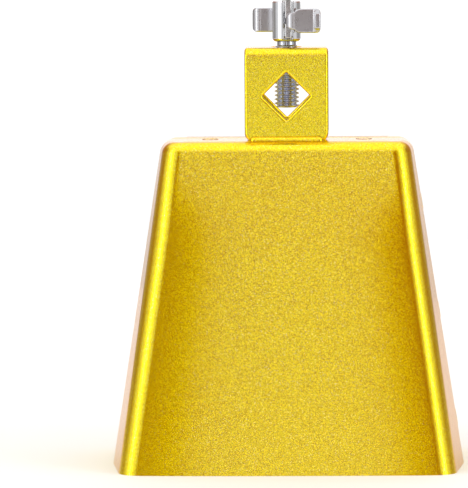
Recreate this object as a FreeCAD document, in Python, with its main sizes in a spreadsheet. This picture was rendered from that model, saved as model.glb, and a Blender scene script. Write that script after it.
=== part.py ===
"""Hand-played cowbell with a bracket and wing screw that clamp it to a rod.

The bell stands on its mouth.  The origin is the middle of the mouth, +Z points up to the bracket and the
striking face looks along -Y.  Millimetres.

The body is two pressed half shells.  The rear half is stepped inwards along its edge, slips inside the
front half and is spot welded to it.  A strap bent into an upside-down U is welded on top; a rod passes
through the diamond holes in its two legs, and the wing screw above presses the rod into their lower corner.
"""

import FreeCAD, Part
import os

import Sketcher

# alias, value, what it is
SIZES = (
    ("body_height", 101.6, "mouth to flat top"),
    ("crest_half_bottom", 55.0, "centre to side crest, at the mouth"),
    ("crest_half_top", 39.0, "centre to side crest, at the top"),
    ("crest_half_flat", 5.0, "half of the flat strip along the side crest"),
    ("mouth_half_depth", 31.0, "centre to face, at the mouth"),
    ("top_half_depth", 16.0, "centre to face, at the top"),
    ("flare", 0.13, "how far the side walls lean out towards the crest, per unit of depth"),
    ("sheet", 1.5, "thickness of the pressed sheet"),
    ("face_bend", 6.0, "outside radius between face and side wall"),
    ("crest_bend", 14.0, "outside radius where a side wall meets the flat crest"),
    ("top_bend", 4.0, "outside radius around the top"),
    ("joggle", 1.5, "length of the step in the rear shell"),
    ("skirt", 10.0, "how far the forming shapes run below the mouth, so that it stays open"),
    ("reach", 200.0, "larger than the bell in any direction"),
    ("spot_radius", 2.5, "spot weld on a side seam or on the top"),
    ("spot_first", 14.0, "height of the lowest side spot weld"),
    ("spot_step", 34.0, "distance between side spot welds"),
    ("top_spot_offset", 24.0, "centre to each spot weld on the top"),
    ("strap", 2.0, "thickness of the bracket strap"),
    ("bracket_width", 26.0, "width of the strap"),
    ("bracket_half_depth", 10.0, "centre to the outside of a leg"),
    ("bracket_top", 130.5, "height of the bracket's top face"),
    ("strap_bend_out", 3.0, "outside radius of the strap's bends"),
    ("strap_bend_in", 1.0, "inside radius of the strap's bends"),
    ("leg_corner", 2.5, "rounded lower corners of the legs"),
    ("window_height", 115.5, "height of the middle of the diamond holes"),
    ("window_half_diagonal", 7.5, "middle of a diamond hole to its corner"),
    ("window_corner", 0.5, "rounding of a diamond hole's corners"),
    ("screw_hole", 4.25, "radius of the hole in the bracket's top"),
    ("bead", 1.5, "leg of the weld beads at the bracket's feet"),
    ("bead_half_length", 10.0, "half of a bead's straight run"),
    ("nut_height", 5.5, "height of the weld nut"),
    ("nut_circle", 7.5, "radius of the circle through the nut's six corners"),
    ("nut_bore", 3.95, "radius of the nut's bore"),
    ("tack", 1.2, "radius of the nut's tack welds"),
    ("shank_radius", 3.9, "outside radius of the screw's thread"),
    ("shank_end", 111.6, "height of the screw's lower end"),
    ("shank_chamfer", 0.8, "chamfer on the screw's lower end"),
    ("neck_radius", 3.4, "plain neck between thread and head"),
    ("neck_length", 0.9, "length of the neck"),
    ("head_gap", 0.05, "shank to head, which are one screw cut at this plane"),
    ("head_bottom", 132.1, "height of the underside of the screw's head"),
    ("head_radius", 4.45, "radius of the slotted head"),
    ("head_height", 12.7, "height of the slotted head"),
    ("head_foot_round", 1.2, "rounding at the bottom of the head"),
    ("head_tip_round", 0.6, "rounding at the top of the head"),
    ("head_turn", 8.6, "degrees that the head is turned from straight ahead"),
    ("slot_width", 2.8, "width of the slot across the head"),
    ("slot_floor", 133.2, "height of the bottom of the slot"),
    ("wing_sheet", 2.0, "thickness of the wing plate"),
    ("wing_bottom", 134.9, "height of the lower edge of the wings"),
    ("wing_height", 7.6, "height of the wings"),
    ("wing_reach", 9.75, "centre to the end of a wing"),
    ("wing_bend", 0.8, "inside radius of the wing's bend"),
    ("wing_clear", 0.3, "gap between the head and a wing"),
    ("wing_corner", 2.2, "rounded corners of the wings"),
    ("lip_bend", 0.5, "inside radius of the lip at a wing's end"),
    ("tab_half_depth", 4.3, "centre to the edge of the tab in the slot"),
    ("tab_top", 145.9, "height of the top of the tab"),
    ("braze_height", 0.5, "height of the braze along the slot's floor"),
    ("braze_half_depth", 3.4, "half of the braze's length"),
)

X_AXIS, Y_AXIS, Z_AXIS = FreeCAD.Vector(1, 0, 0), FreeCAD.Vector(0, 1, 0), FreeCAD.Vector(0, 0, 1)
VOLUME_TOLERANCE = 1e-6

doc = FreeCAD.newDocument("cowbell")


# ---------------------------------------------------------------- helpers

def make_sheet():
    """The spreadsheet that every size is read from."""
    sheet = doc.addObject("Spreadsheet::Sheet", "sizes")
    for row, (alias, value, meaning) in enumerate(SIZES, start=1):
        sheet.set(f"A{row}", meaning)
        sheet.set(f"B{row}", str(value))
        sheet.setAlias(f"B{row}", alias)
    doc.recompute()
    return sheet


def bind(thing, expressions):
    for name, expression in expressions.items():
        thing.setExpression(name, expression)
    return thing


def add(kind, name, expressions=()):
    thing = doc.addObject(kind, name)
    thing.Label = name
    return bind(thing, dict(expressions))


def place(x="0", y="0", z="0"):
    """Expressions that put an object's own origin at x, y, z."""
    return {"Placement.Base.x": x, "Placement.Base.y": y, "Placement.Base.z": z}


def box(name, low, high):
    """A box between two corners, each given as three expressions."""
    spans = (f"({b}) - ({a})" for a, b in zip(low, high))
    return add("Part::Box", name, {**dict(zip(("Length", "Width", "Height"), spans)), **place(*low)})


def cylinder(name, radius, length, centre, axis=Z_AXIS, sweep="360"):
    """A cylinder, or a wedge of one, that starts at centre and runs along axis."""
    rod = add("Part::Cylinder", name, {"Radius": radius, "Height": length, "Angle": sweep})
    rod.Placement.Rotation = FreeCAD.Rotation(Z_AXIS, axis)
    return bind(rod, place(*centre))


def cut(name, base, tool):
    result = add("Part::Cut", name)
    result.Base, result.Tool = base, tool
    return result


def join(name, *pieces):
    result = add("Part::MultiFuse", name)
    result.Shapes, result.Refine = list(pieces), True
    return result


def overlap(name, *pieces):
    result = add("Part::MultiCommon", name)
    result.Shapes = list(pieces)
    return result


def group(name, *pieces):
    """Separate solids that share one node."""
    result = add("Part::Compound", name)
    result.Links = list(pieces)
    return result


def turn_with_head(thing):
    """Turns a piece of the screw's head about the screw's axis."""
    thing.Placement = FreeCAD.Placement(FreeCAD.Vector(), FreeCAD.Rotation(Z_AXIS, 1))
    return bind(thing, {"Placement.Rotation.Angle": "sizes.head_turn"})


def make_body(name):
    return add("PartDesign::Body", name)


def origin_plane(body, role):
    return next(part for part in body.Origin.OriginFeatures if part.Role == role)


def outline(body, name, role, corners, lift="0"):
    """A closed sketch through corners, each corner a pair of expressions, on a plane of the body."""
    sketch = body.newObject("Sketcher::SketchObject", name)
    sketch.AttachmentSupport = (origin_plane(body, role), "")
    sketch.MapMode = "FlatFace"
    sketch.setExpression("AttachmentOffset.Base.z", lift)
    spots = [FreeCAD.Vector(sizes.evalExpression(x), sizes.evalExpression(y), 0) for x, y in corners]
    for here, there in zip(spots, spots[1:] + spots[:1]):
        sketch.addGeometry(Part.LineSegment(here, there))
    for number, (x, y) in enumerate(corners):
        sketch.addConstraint(Sketcher.Constraint("Coincident", number - 1 if number else len(corners) - 1, 2,
                                                 number, 1))
        for kind, expression, value in (("DistanceX", x, spots[number].x), ("DistanceY", y, spots[number].y)):
            index = sketch.addConstraint(Sketcher.Constraint(kind, -1, 1, number, 1, value))
            sketch.setExpression(f"Constraints[{index}]", expression)
    return sketch


def circle(body, name, role, radius, lift="0"):
    """A sketched circle about the origin of one of the body's planes."""
    sketch = body.newObject("Sketcher::SketchObject", name)
    sketch.AttachmentSupport = (origin_plane(body, role), "")
    sketch.MapMode = "FlatFace"
    sketch.setExpression("AttachmentOffset.Base.z", lift)
    sketch.addGeometry(Part.Circle(FreeCAD.Vector(), Z_AXIS, sizes.evalExpression(radius)))
    sketch.addConstraint(Sketcher.Constraint("Coincident", 0, 3, -1, 1))
    index = sketch.addConstraint(Sketcher.Constraint("Radius", 0, sizes.evalExpression(radius)))
    sketch.setExpression(f"Constraints[{index}]", radius)
    return sketch


def pad(body, sketch, length, both_ways=False):
    feature = body.newObject("PartDesign::Pad", sketch.Name + "_pad")
    feature.Profile = sketch
    feature.Midplane = both_ways
    feature.setExpression("Length", length)
    return feature


def pocket_through(body, sketch):
    """Cuts a sketch right through the body, both ways, and checks that it took something away."""
    doc.recompute()
    before = body.Shape.Volume
    feature = body.newObject("PartDesign::Pocket", sketch.Name + "_pocket")
    feature.Profile = sketch
    feature.Midplane = True
    feature.setExpression("Length", "sizes.reach * 2")
    doc.recompute()
    assert body.Shape.Volume < before - VOLUME_TOLERANCE, sketch.Name
    return feature


def round_edges(body, name, radius, wanted):
    """Fillets every edge of the body for which wanted(start, end) is true."""
    doc.recompute()
    base = body.Tip
    chosen = [
        f"Edge{number}"
        for number, edge in enumerate(base.Shape.Edges, start=1)
        if len(edge.Vertexes) > 1 and wanted(edge.Vertexes[0].Point, edge.Vertexes[-1].Point)
    ]
    assert chosen, name
    feature = body.newObject("PartDesign::Fillet", name)
    feature.Base = (base, chosen)
    feature.setExpression("Radius", radius)
    doc.recompute()
    return feature


def near(a, b, tolerance=1e-4):
    return abs(a - b) < tolerance


# ---------------------------------------------------------------- bell

SIDE_SLOPE = "((sizes.crest_half_bottom - sizes.crest_half_top) / sizes.body_height)"
FACE_SLOPE = "((sizes.mouth_half_depth - sizes.top_half_depth) / sizes.body_height)"


def half_width(height, inset="0"):
    """Centre to side crest at a height, on a surface set in from the outside."""
    return (f"(sizes.crest_half_bottom - {SIDE_SLOPE} * ({height})"
            f" - ({inset}) * sqrt(1 + {SIDE_SLOPE} ^ 2))")


def mouth_section(inset):
    """The eight corners of the mouth: two faces, four leaning side walls, two flat crests."""
    wide = half_width("0", inset)
    deep = f"(sizes.mouth_half_depth - ({inset}) * sqrt(1 + {FACE_SLOPE} ^ 2))"
    flat = "sizes.crest_half_flat"
    face = f"({wide} - sizes.flare * ({deep} - {flat}))"
    return ((face, f"-{deep}"), (wide, f"-{flat}"), (wide, flat), (face, deep),
            (f"-{face}", deep), (f"-{wide}", flat), (f"-{wide}", f"-{flat}"), (f"-{face}", f"-{deep}"))


def lean(body, name, slope, wanted):
    """Leans the upright walls for which wanted(normal) is true inwards, turning them about the mouth."""
    doc.recompute()
    base = body.Tip
    walls = [
        f"Face{number}"
        for number, face in enumerate(base.Shape.Faces, start=1)
        if wanted(face.normalAt(0, 0))
    ]
    feature = body.newObject("PartDesign::Draft", name)
    feature.Base = (base, walls)
    feature.NeutralPlane = (origin_plane(body, "XY_Plane"), [""])
    feature.setExpression("Angle", f"atan({slope})")
    doc.recompute()
    return feature


def bell_form(name, inset):
    """The bell as a solid block whose surface is set in from the outside of the sheet."""
    body = make_body(name)
    mouth = outline(body, name + "_mouth", "XY_Plane", mouth_section(inset), "-sizes.skirt")
    pad(body, mouth, f"sizes.body_height - ({inset}) + sizes.skirt")
    lean(body, name + "_side_lean", SIDE_SLOPE, lambda normal: abs(normal.x) > abs(normal.y))
    lean(body, name + "_face_lean", FACE_SLOPE, lambda normal: abs(normal.y) > abs(normal.x) + abs(normal.z))
    flat = sizes.crest_half_flat

    def is_upright(start, end):
        return abs(start.z - end.z) > sizes.skirt

    round_edges(body, name + "_face_bends", f"sizes.face_bend - ({inset})",
                lambda a, b: is_upright(a, b) and min(abs(a.y), abs(b.y)) > 2 * flat)
    round_edges(body, name + "_crest_bends", f"sizes.crest_bend - ({inset})",
                lambda a, b: is_upright(a, b) and max(abs(a.y), abs(b.y)) < 1.5 * flat)
    ceiling = sizes.evalExpression(f"sizes.body_height - ({inset})")
    round_edges(body, name + "_top_bends", f"sizes.top_bend - ({inset})",
                lambda a, b: near(a.z, ceiling) and near(b.z, ceiling))
    return body


def side_spots(name, side):
    """Three spot welds down one side seam, through both sheets, square to the side."""
    outward = FreeCAD.Vector(side, 0, sizes.evalExpression(SIDE_SLOPE))
    spots = []
    for number in range(3):
        height = f"(sizes.spot_first + {number} * sizes.spot_step)"
        start = (f"{side} * {half_width(height)}", "0", height)
        spots.append(cylinder(f"{name}_{number}", "sizes.spot_radius", "sizes.sheet * 2", start, -outward))
    return group(name, *spots)


def top_spots(name):
    """Two spot welds where the half shells overlap on the top, either side of the bracket."""
    height = "sizes.body_height - sizes.sheet * 2"
    spots = [
        cylinder(f"{name}_{end}", "sizes.spot_radius", "sizes.sheet * 2",
                 (f"{side} * sizes.top_spot_offset", "0", height))
        for end, side in (("left", -1), ("right", 1))
    ]
    return group(name, *spots)


def zone(name, front, rear):
    """Everything above the mouth plane between two depths."""
    return box(name, ("-sizes.reach", front, "0"), ("sizes.reach", rear, "sizes.reach"))


def make_shells():
    """The two half shells and the spot welds that hold them together."""
    outside = bell_form("outside_form", "0")
    lap = bell_form("lap_form", "sizes.sheet")
    inside = bell_form("inside_form", "sizes.sheet * 2")
    edge = "sizes.crest_half_flat"
    outer_skin = cut("outer_skin", outside, lap)
    inner_skin = cut("inner_skin", lap, inside)
    side_welds = [side_spots("left_seam_welds", -1), side_spots("right_seam_welds", 1)]
    welds = [*side_welds, top_spots("top_seam_welds")]
    front = overlap("front_sheet", outer_skin, zone("front_zone", "-sizes.reach", edge))
    rear = join(
        "rear_sheet",
        overlap("rear_half", outer_skin, zone("rear_zone", edge, "sizes.reach")),
        overlap("rear_collar", inner_skin, zone("collar_zone", f"-{edge}", f"{edge} + sizes.joggle")),
    )
    all_welds = group("seam_welds", *welds)
    return [cut("front_shell", front, all_welds), cut("rear_shell", rear, all_welds), *welds]


# ---------------------------------------------------------------- bracket

def make_bracket():
    """The strap: a U of two legs and a top, with a diamond hole in each leg and a round one on top."""
    body = make_body("mount_bracket")
    outer, inner = "sizes.bracket_half_depth", "(sizes.bracket_half_depth - sizes.strap)"
    foot, top, under = "sizes.body_height", "sizes.bracket_top", "(sizes.bracket_top - sizes.strap)"
    right = ((inner, under), (inner, foot), (outer, foot), (outer, top))
    strap_outline = [*right, *((f"-{y}", z) for y, z in reversed(right))]
    pad(body, outline(body, "strap_outline", "YZ_Plane", strap_outline), "sizes.bracket_width", True)
    half = sizes.bracket_width / 2
    depth, leg_inside = sizes.bracket_half_depth, sizes.bracket_half_depth - sizes.strap
    round_edges(body, "strap_bends_out", "sizes.strap_bend_out",
                lambda a, b: near(a.z, sizes.bracket_top) and near(abs(a.y), depth) and near(a.y, b.y)
                and near(a.z, b.z))
    round_edges(body, "strap_bends_in", "sizes.strap_bend_in",
                lambda a, b: a.z > sizes.window_height and near(abs(a.y), leg_inside) and near(a.y, b.y)
                and near(a.z, b.z))
    round_edges(body, "leg_corners", "sizes.leg_corner",
                lambda a, b: near(a.z, sizes.body_height) and near(b.z, a.z) and near(abs(a.x), half)
                and near(a.x, b.x))
    reach, middle = "sizes.window_half_diagonal", "sizes.window_height"
    above, below = ("0", f"{middle} + {reach}"), ("0", f"{middle} - {reach}")
    diamond = ((reach, middle), above, (f"-{reach}", middle), below)
    pocket_through(body, outline(body, "diamond", "XZ_Plane", diamond))
    pocket_through(body, circle(body, "screw_hole_circle", "XY_Plane", "sizes.screw_hole"))

    def is_window_corner(a, b):
        across = abs(a.x) + abs(a.z - sizes.window_height)
        return near(across, sizes.window_half_diagonal) and near(a.x, b.x) and near(a.z, b.z)

    round_edges(body, "diamond_corners", "sizes.window_corner", is_window_corner)
    return body


def make_foot_bead(name, side):
    """A quarter-round bead with rounded ends, in the corner between the outside of a leg and the bell."""
    leg, floor = f"{side} * sizes.bracket_half_depth", "sizes.body_height"
    bar = cylinder(name + "_bar", "sizes.bead", "sizes.bead_half_length * 2",
                   ("-sizes.bead_half_length", leg, floor), X_AXIS)
    ends = [
        add("Part::Sphere", f"{name}_{end}", {"Radius": "sizes.bead",
                                              **place(f"{sign}sizes.bead_half_length", leg, floor)})
        for end, sign in (("left", "-"), ("right", ""))
    ]
    low, high = sorted((leg, f"{side} * (sizes.bracket_half_depth + sizes.bead)"), key=sizes.evalExpression)
    quarter = box(name + "_quarter", ("-sizes.bracket_width", low, floor),
                  ("sizes.bracket_width", high, f"{floor} + sizes.bead"))
    return overlap(name, join(name + "_round", bar, *ends), quarter)


def make_nut():
    """The weld nut under the bracket's top, and a round tack weld at two of its corners."""
    roof = "(sizes.bracket_top - sizes.strap)"
    bottom = f"{roof} - sizes.nut_height"
    blank = add("Part::Prism", "nut_blank", {"Circumradius": "sizes.nut_circle", "Height": "sizes.nut_height",
                                             **place(z=bottom)})
    blank.Polygon = 6
    bore = cylinder("nut_bore_tool", "sizes.nut_bore", "sizes.nut_height", ("0", "0", bottom))
    below = box("below_roof", ("-sizes.bracket_width", "-sizes.bracket_width", bottom),
                ("sizes.bracket_width", "sizes.bracket_width", roof))
    tacks = []
    for end, side in (("left", "-"), ("right", "")):
        drop = add("Part::Sphere", f"nut_drop_{end}", {"Radius": "sizes.tack",
                                                       **place(f"{side}sizes.nut_circle", "0", roof)})
        tacks.append(cut(f"nut_tack_{end}", overlap(f"nut_half_drop_{end}", drop, below), blank))
    return [cut("weld_nut", blank, bore), group("nut_tack_welds", *tacks)]


# ---------------------------------------------------------------- wing screw

def make_shank():
    """The threaded shank at the thread's outside size, with a chamfered end and a plain neck."""
    top = "sizes.head_bottom - sizes.head_gap"
    chamfer_top = "sizes.shank_end + sizes.shank_chamfer"
    neck_bottom = f"{top} - sizes.neck_length"
    tip = add("Part::Cone", "shank_tip", {"Radius1": "sizes.shank_radius - sizes.shank_chamfer",
                                          "Radius2": "sizes.shank_radius", "Height": "sizes.shank_chamfer",
                                          **place(z="sizes.shank_end")})
    thread = cylinder("shank_thread", "sizes.shank_radius", f"({neck_bottom}) - ({chamfer_top})",
                      ("0", "0", chamfer_top))
    neck = cylinder("shank_neck", "sizes.neck_radius", "sizes.neck_length", ("0", "0", neck_bottom))
    return join("threaded_shank", tip, thread, neck)


def make_head():
    """The round head, with rounded rims and a slot right across it."""
    body = make_body("slotted_barrel")
    low, high = "sizes.head_bottom", "sizes.head_bottom + sizes.head_height"
    pad(body, circle(body, "head_circle", "XY_Plane", "sizes.head_radius", low), "sizes.head_height")
    doc.recompute()
    for name, radius, level in (("head_foot", "sizes.head_foot_round", low),
                                ("head_tips", "sizes.head_tip_round", high)):
        height, base = sizes.evalExpression(level), body.Tip
        rims = [
            f"Edge{number}"
            for number, edge in enumerate(base.Shape.Edges, start=1)
            if near(edge.CenterOfMass.z, height) and isinstance(edge.Curve, Part.Circle)
        ]
        feature = body.newObject("PartDesign::Fillet", name)
        feature.Base = (base, rims)
        feature.setExpression("Radius", radius)
        doc.recompute()
    wide = "sizes.slot_width / 2"
    slot = ((wide, "sizes.slot_floor"), (wide, "sizes.reach"), (f"-{wide}", "sizes.reach"),
            (f"-{wide}", "sizes.slot_floor"))
    pocket_through(body, outline(body, "slot_outline", "XZ_Plane", slot))
    return turn_with_head(body)


def bent_strip(name, centre, inner_radius, start, sweep):
    """A piece of the wing plate bent about an upright axis: start and sweep are in degrees."""
    height = "sizes.wing_height"
    outer = cylinder(name + "_outer", f"{inner_radius} + sizes.wing_sheet", height, centre, sweep=sweep)
    inner = cylinder(name + "_inner", inner_radius, height, centre)
    outer.Placement.Rotation = FreeCAD.Rotation(Z_AXIS, start)
    return cut(name, outer, inner)


def make_wing(name, side):
    """One wing: out of the slot, round a bend, along in front of the head and out into a lip."""
    half_sheet = "(sizes.wing_sheet / 2)"
    floor, roof = "sizes.wing_bottom", "sizes.wing_bottom + sizes.wing_height"
    near_face = "(sizes.head_radius + sizes.wing_clear)"
    far_face = f"({near_face} + sizes.wing_sheet)"
    bend_x, bend_y = f"({half_sheet} + sizes.wing_bend)", f"({near_face} - sizes.wing_bend)"
    lip_x = "(sizes.wing_reach - sizes.lip_bend - sizes.wing_sheet)"
    arm = box(name + "_arm", (f"-{half_sheet}", f"-{bend_y}", floor), (half_sheet, "0", roof))
    bend = bent_strip(name + "_bend", (bend_x, f"-{bend_y}", floor), "sizes.wing_bend", 180, "90")
    blade = box(name + "_blade", (bend_x, f"-{far_face}", floor), (lip_x, f"-{near_face}", roof))
    lip_centre = (lip_x, f"-({far_face} + sizes.lip_bend)", floor)
    lip = bent_strip(name + "_lip", lip_centre, "sizes.lip_bend", 0, "90")
    wing = join(name, arm, bend, blade, lip)
    wing.Placement.Rotation = FreeCAD.Rotation(Z_AXIS, 0 if side > 0 else 180)
    return wing


def make_wing_plate():
    """The S-shaped wing plate with rounded corners, and the taller tab that stands in the slot."""
    block = make_body("wing_outline")
    width, floor, roof = "sizes.wing_reach", "sizes.wing_bottom", "sizes.wing_bottom + sizes.wing_height"
    corners = ((width, floor), (width, roof), (f"-{width}", roof), (f"-{width}", floor))
    pad(block, outline(block, "wing_rectangle", "XZ_Plane", corners), "sizes.reach", True)
    round_edges(block, "wing_corners", "sizes.wing_corner",
                lambda a, b: near(abs(a.x), sizes.wing_reach) and near(a.x, b.x) and near(a.z, b.z))
    wings = join("both_wings", make_wing("front_wing", 1), make_wing("rear_wing", -1))
    half_sheet = "sizes.wing_sheet / 2"
    tab = box("slot_tab", (f"-{half_sheet}", "-sizes.tab_half_depth", "sizes.slot_floor"),
              (half_sheet, "sizes.tab_half_depth", "sizes.tab_top"))
    return turn_with_head(join("wing_plate", tab, overlap("rounded_wings", wings, block)))


def make_braze():
    """Braze metal along the slot's floor on both sides of the tab."""
    inner, outer = "sizes.wing_sheet / 2", "sizes.slot_width / 2"
    runs = []
    for end, low, high in (("left", f"-{outer}", f"-{inner}"), ("right", inner, outer)):
        runs.append(box(f"braze_{end}", (low, "-sizes.braze_half_depth", "sizes.slot_floor"),
                        (high, "sizes.braze_half_depth", "sizes.slot_floor + sizes.braze_height")))
    return turn_with_head(group("wing_braze", *runs))


# ---------------------------------------------------------------- build and write

def check(pieces):
    """Stops if any object failed or any piece isn't a good solid."""
    doc.recompute()
    failed = [thing.Name for thing in doc.Objects if {"Invalid", "Error"} & set(thing.State)]
    assert not failed, failed
    for piece in pieces:
        shape = piece.Shape
        assert not shape.isNull() and shape.isValid() and shape.Solids, piece.Label
        bounds = shape.BoundBox
        print(f"{piece.Label:18s} solids {len(shape.Solids)}  volume {shape.Volume:9.2f}  "
              f"x {bounds.XMin:7.2f} {bounds.XMax:7.2f}  y {bounds.YMin:7.2f} {bounds.YMax:7.2f}  "
              f"z {bounds.ZMin:7.2f} {bounds.ZMax:7.2f}")


sizes = make_sheet()
pieces = [
    *make_shells(),
    make_bracket(),
    make_foot_bead("front_foot_weld", -1),
    make_foot_bead("rear_foot_weld", 1),
    *make_nut(),
    make_shank(),
    make_head(),
    make_wing_plate(),
    make_braze(),
]
check(pieces)
os.makedirs("parts", exist_ok=True)
for piece in pieces:
    piece.Shape.exportStep(os.path.join("parts", piece.Label + ".step"))
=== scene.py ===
# %% [markdown]
# # A gold cowbell with a clamp bracket and a wing screw
#
# A cowbell is two pressed steel half shells welded along their sides, with a bent strap on top. A rod goes
# through the diamond holes of the strap, and a wing screw presses it tight. Everything is painted in one go
# with metallic gold under a clear coat, except the wing screw, which is plated.
#
# The CAD model gives every place and size. This script hangs better-looking skins on it.

# %% Load the frame
import math

import bmesh
import bpy
from mathutils import Matrix, Vector


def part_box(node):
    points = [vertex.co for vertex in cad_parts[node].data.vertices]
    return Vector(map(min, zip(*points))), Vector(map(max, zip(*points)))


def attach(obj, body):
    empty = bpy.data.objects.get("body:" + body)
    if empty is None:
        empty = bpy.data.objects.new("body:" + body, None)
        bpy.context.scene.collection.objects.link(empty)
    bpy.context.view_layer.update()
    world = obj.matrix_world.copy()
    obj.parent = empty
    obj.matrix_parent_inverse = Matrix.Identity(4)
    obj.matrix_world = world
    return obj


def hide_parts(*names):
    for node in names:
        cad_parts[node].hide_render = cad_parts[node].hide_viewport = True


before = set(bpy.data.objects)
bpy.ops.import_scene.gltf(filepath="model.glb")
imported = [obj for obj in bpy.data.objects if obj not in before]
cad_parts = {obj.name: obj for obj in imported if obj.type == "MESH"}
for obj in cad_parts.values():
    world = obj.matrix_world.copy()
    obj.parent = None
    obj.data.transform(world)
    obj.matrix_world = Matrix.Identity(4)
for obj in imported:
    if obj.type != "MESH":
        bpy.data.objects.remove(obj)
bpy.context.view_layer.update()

# %% [markdown]
# ## Small helpers
#
# Sizes on a drawing are in millimetres and Blender works in metres, so lengths are written as `5 * MM`.
# Colours are given as hex values, as a screen shows them. A shader adds up light, so it needs them linear.

# %% Lengths, colours and shader nodes
MM = 0.001


def linear(hex_colour):
    """'#rrggbb' as Blender's linear colour with alpha."""
    channels = (int(hex_colour[i:i + 2], 16) / 255 for i in (1, 3, 5))
    return (*(c / 12.92 if c <= 0.04045 else ((c + 0.055) / 1.055) ** 2.4 for c in channels), 1.0)


def add_node(tree, kind, inputs=None, **settings):
    """Adds a node. An input that is another node's output is linked, and any other one is a plain value."""
    made = tree.nodes.new(kind)
    for name, value in settings.items():
        setattr(made, name, value)
    for socket, value in (inputs or {}).items():
        if isinstance(value, bpy.types.NodeSocket):
            tree.links.new(value, made.inputs[socket])
        else:
            made.inputs[socket].default_value = value
    return made


def new_material(name):
    """An empty material with its output node."""
    material = bpy.data.materials.new(name)
    material.use_nodes = True
    material.node_tree.nodes.clear()
    return material, material.node_tree, add_node(material.node_tree, "ShaderNodeOutputMaterial")


print("gold in linear light", linear("#dfb927"))

# %% [markdown]
# ## The camera
#
# The bell is seen from straight ahead, a hair to the right, and a little above, through a long lens, so its
# upright lines stay nearly parallel. The aim point is left of the bell, which moves the bell to the right
# of the frame.

# %% Camera
CAMERA_PLACE = Vector((19.3, -1309.3, 191.0)) * MM
CAMERA_AIM = Vector((-16.8, 0.0, 68.65)) * MM
CAMERA_ROLL = math.radians(0.355)
CAMERA_LENS = 309.4

camera_data = bpy.data.cameras.new("camera")
camera_data.lens = CAMERA_LENS
camera_data.clip_start, camera_data.clip_end = 0.05, 200.0
camera = bpy.data.objects.new("camera", camera_data)
bpy.context.scene.collection.objects.link(camera)
sight = (CAMERA_AIM - CAMERA_PLACE).to_track_quat("-Z", "Y").to_matrix().to_4x4()
camera.matrix_world = Matrix.Translation(CAMERA_PLACE) @ sight @ Matrix.Rotation(-CAMERA_ROLL, 4, "Z")
bpy.context.scene.camera = camera
print("camera distance", (CAMERA_AIM - CAMERA_PLACE).length)

# %% [markdown]
# ## The studio
#
# A glossy object shows its surroundings, so the surroundings are most of its look. The room is a smooth
# function of direction, so no reflection has an edge. Level with the bell it follows a ramp by the angle to
# straight ahead: a narrow soft light that the middle of the face mirrors, a dim part on both sides of it,
# wide soft lights half to the side, greyer side walls and a white back wall. The left light comes further
# round to the front. A ramp with named stops was chosen over lamps, because each stop can be found again as
# a light or a dark band on the bell.

# %% What stands where in the room
bpy.context.scene.view_settings.view_transform = "Standard"

# degrees to the right of straight ahead, colour there, and how much of the dim parts' warmth it takes on
ROOM_RAMP = [(-180, "#ffffff", 0.0), (-172, "#ffffff", 0.0), (-150, "#b0aeac", 0.5), (-108, "#928f8c", 0.6),
             (-82, "#d8d8d8", 0.0), (-56, "#ffffff", 0.0), (-24, "#dadada", 0.0), (-12, "#644630", 1.0),
             (-6.5, "#644630", 1.0), (-3, "#ffffff", 0.0), (0, "#ffffff", 0.0), (3.5, "#ffffff", 0.0),
             (8.5, "#888684", 1.0), (20, "#888684", 1.0), (42, "#d0d0d0", 0.0), (60, "#ffffff", 0.0),
             (80, "#d8d8d8", 0.0), (108, "#928f8c", 0.6), (150, "#b0aeac", 0.5), (172, "#ffffff", 0.0),
             (180, "#ffffff", 0.0)]
ROOM_TURN = math.radians(1.0)             # faces the point midway between the camera and the bell's axis

world = bpy.data.worlds.new("studio")
world.use_nodes = True
room = world.node_tree
room.nodes.clear()
outlook = add_node(room, "ShaderNodeTexCoord").outputs["Generated"]
direction = add_node(room, "ShaderNodeVectorRotate", {"Vector": outlook, "Angle": ROOM_TURN},
                     rotation_type="Z_AXIS").outputs[0]
parts = add_node(room, "ShaderNodeSeparateXYZ", {"Vector": direction}).outputs
forward = add_node(room, "ShaderNodeMath", {0: parts["Y"], 1: -1.0}, operation="MULTIPLY").outputs[0]
turned = add_node(room, "ShaderNodeMath", {0: parts["X"], 1: forward}, operation="ARCTAN2").outputs[0]
share = add_node(room, "ShaderNodeMath", {0: turned, 1: 0.5 / math.pi, 2: 0.5},
                 operation="MULTIPLY_ADD").outputs[0]
level = add_node(room, "ShaderNodeValToRGB", {"Fac": share})
level.color_ramp.interpolation = "EASE"
while len(level.color_ramp.elements) < len(ROOM_RAMP):
    level.color_ramp.elements.new(0.5)
for stop, (degrees, colour, warmth) in zip(level.color_ramp.elements, ROOM_RAMP):
    stop.position, stop.color = degrees / 360 + 0.5, (*linear(colour)[:3], warmth)
print("stops in the ramp round the room", len(ROOM_RAMP))

# %% [markdown]
# Dim parts of a real room are warm, because they are lit by light that has bounced off wood and skin, and
# that warmth is what makes the shaded paint orange instead of olive. It only starts above the level that
# the upright screw mirrors, so the plating stays neutral. Higher up everything turns into a white ceiling.

# %% Warmth and ceiling
WARM = "#ff8e44"
WARM_FROM, WARM_TO = 0.04, 0.13           # sines of the heights where the warmth starts and is full
CEILING = 1.33
CEILING_FROM, CEILING_TO = 0.42, 0.85     # sines of the heights where the ceiling takes over
LEVEL_STRENGTH = 1.3

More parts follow.
